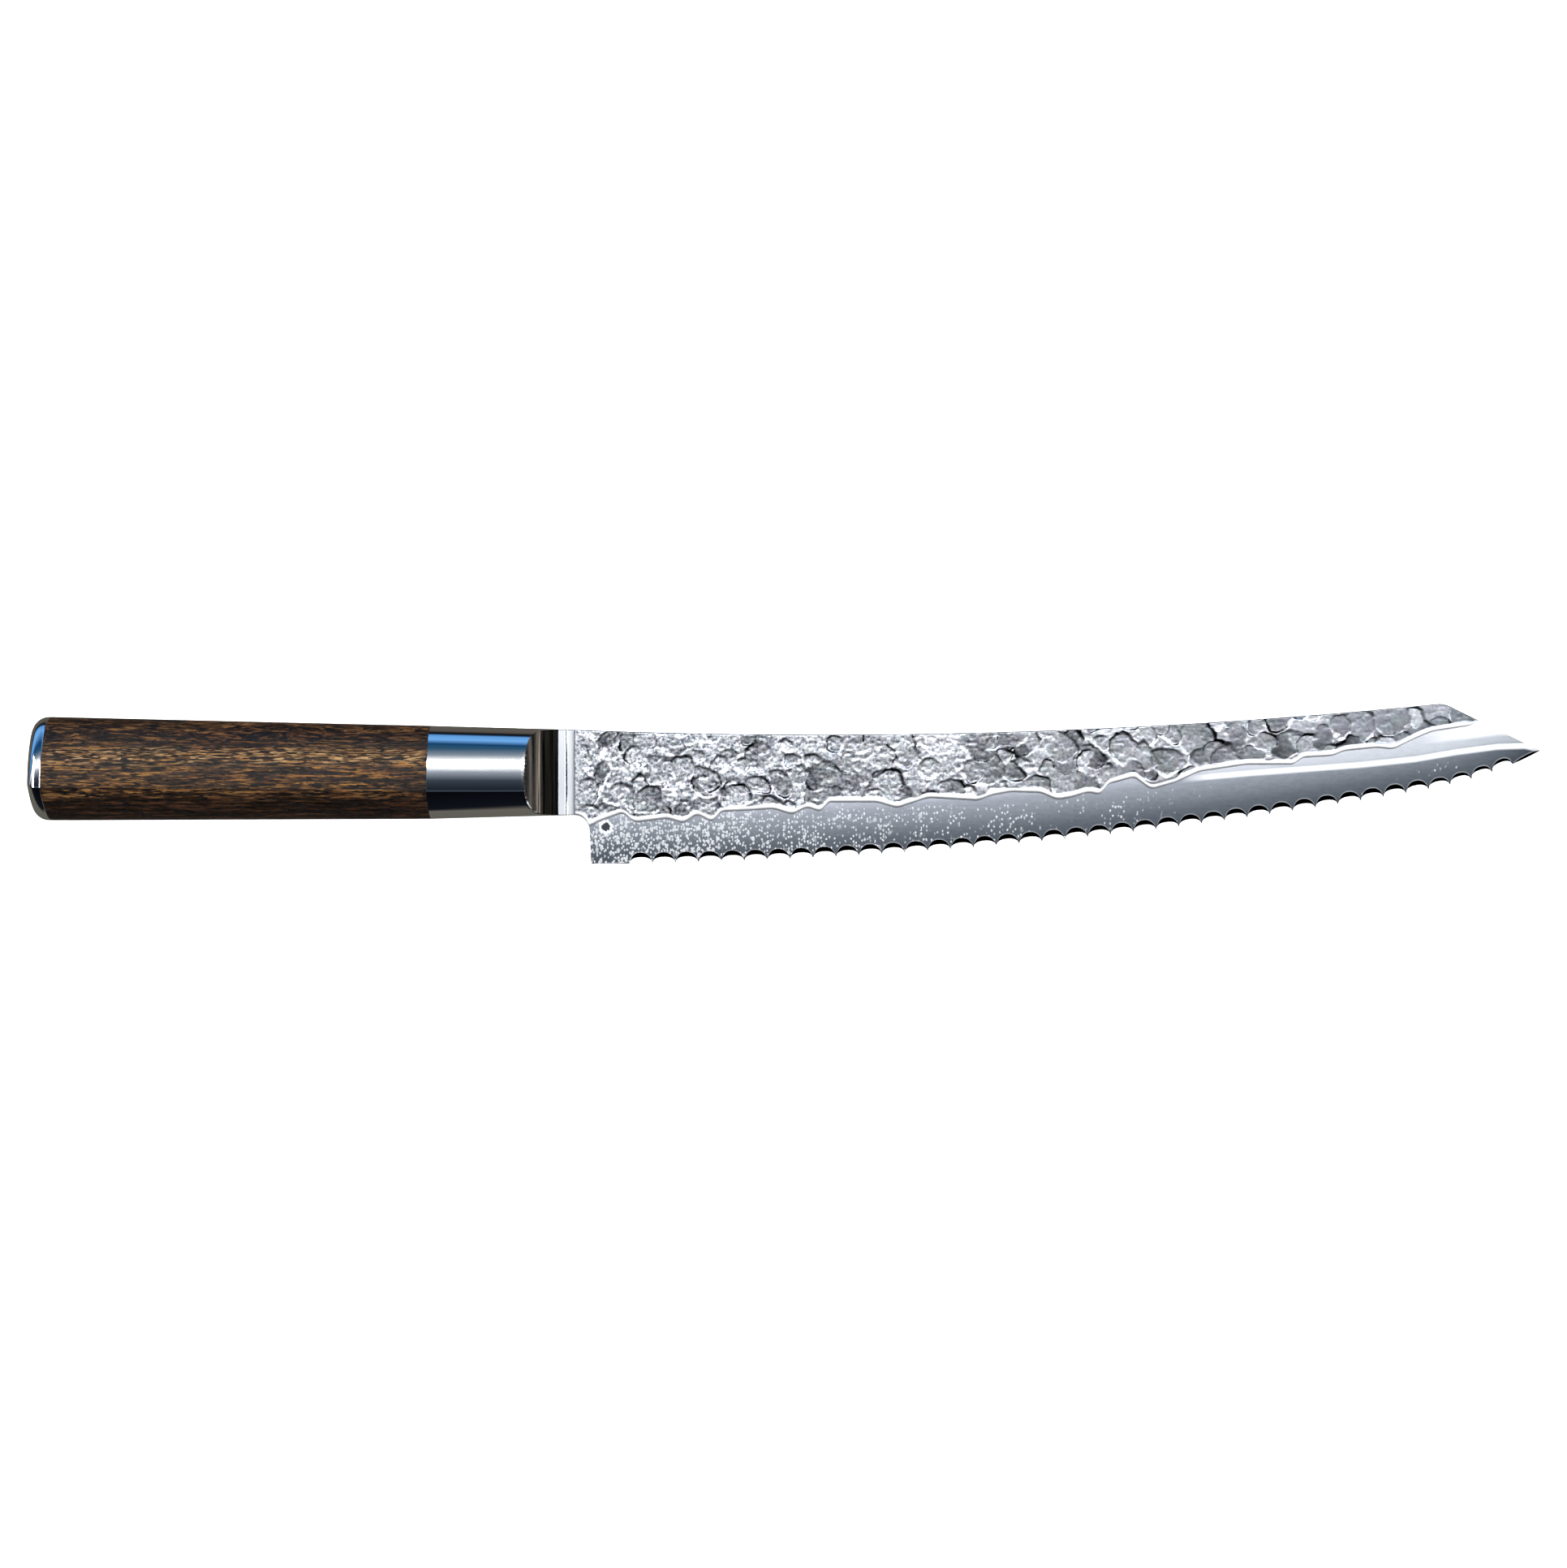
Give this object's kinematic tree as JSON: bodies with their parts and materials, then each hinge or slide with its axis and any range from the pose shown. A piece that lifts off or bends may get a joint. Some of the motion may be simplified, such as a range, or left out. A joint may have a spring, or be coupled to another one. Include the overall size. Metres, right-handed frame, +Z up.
{
  "type": "bread knife",
  "caption": "Hammered serrated bread knife with an upswept blade, polished bolster and end cap, and a dark ridged wooden grip.",
  "frame": {"origin": "on the surface that the knife lies on, under the middle of its bounding box", "axes": "+X along the blade to the tip, +Y towards the spine, +Z up out of the right face, which carries the scallop bevels; the knife lies on its left side"},
  "size_m": [0.3642, 0.0388, 0.0163],
  "materials": {
    "core_steel": "satin ground",
    "hammered_steel": "hammered, bright with dark hollows",
    "polished_steel": "mirror polished",
    "dark_wood": "oiled, open grained",
    "fastener_steel": "plain",
    "epoxy": "cast"
  },
  "bodies": {
    "root": {"core_steel": "core_steel", "cladding_right": "hammered_steel", "cladding_left": "hammered_steel", "bolster": "polished_steel", "grip": "dark_wood", "end_cap": "polished_steel", "cap_dowels": "fastener_steel", "tang_bar": "fastener_steel", "tang_stud": "fastener_steel", "tang_bedding": "epoxy", "plain_washer": "fastener_steel", "spring_washer": "fastener_steel", "tang_nut": "fastener_steel"}
  },
  "joints": []
}
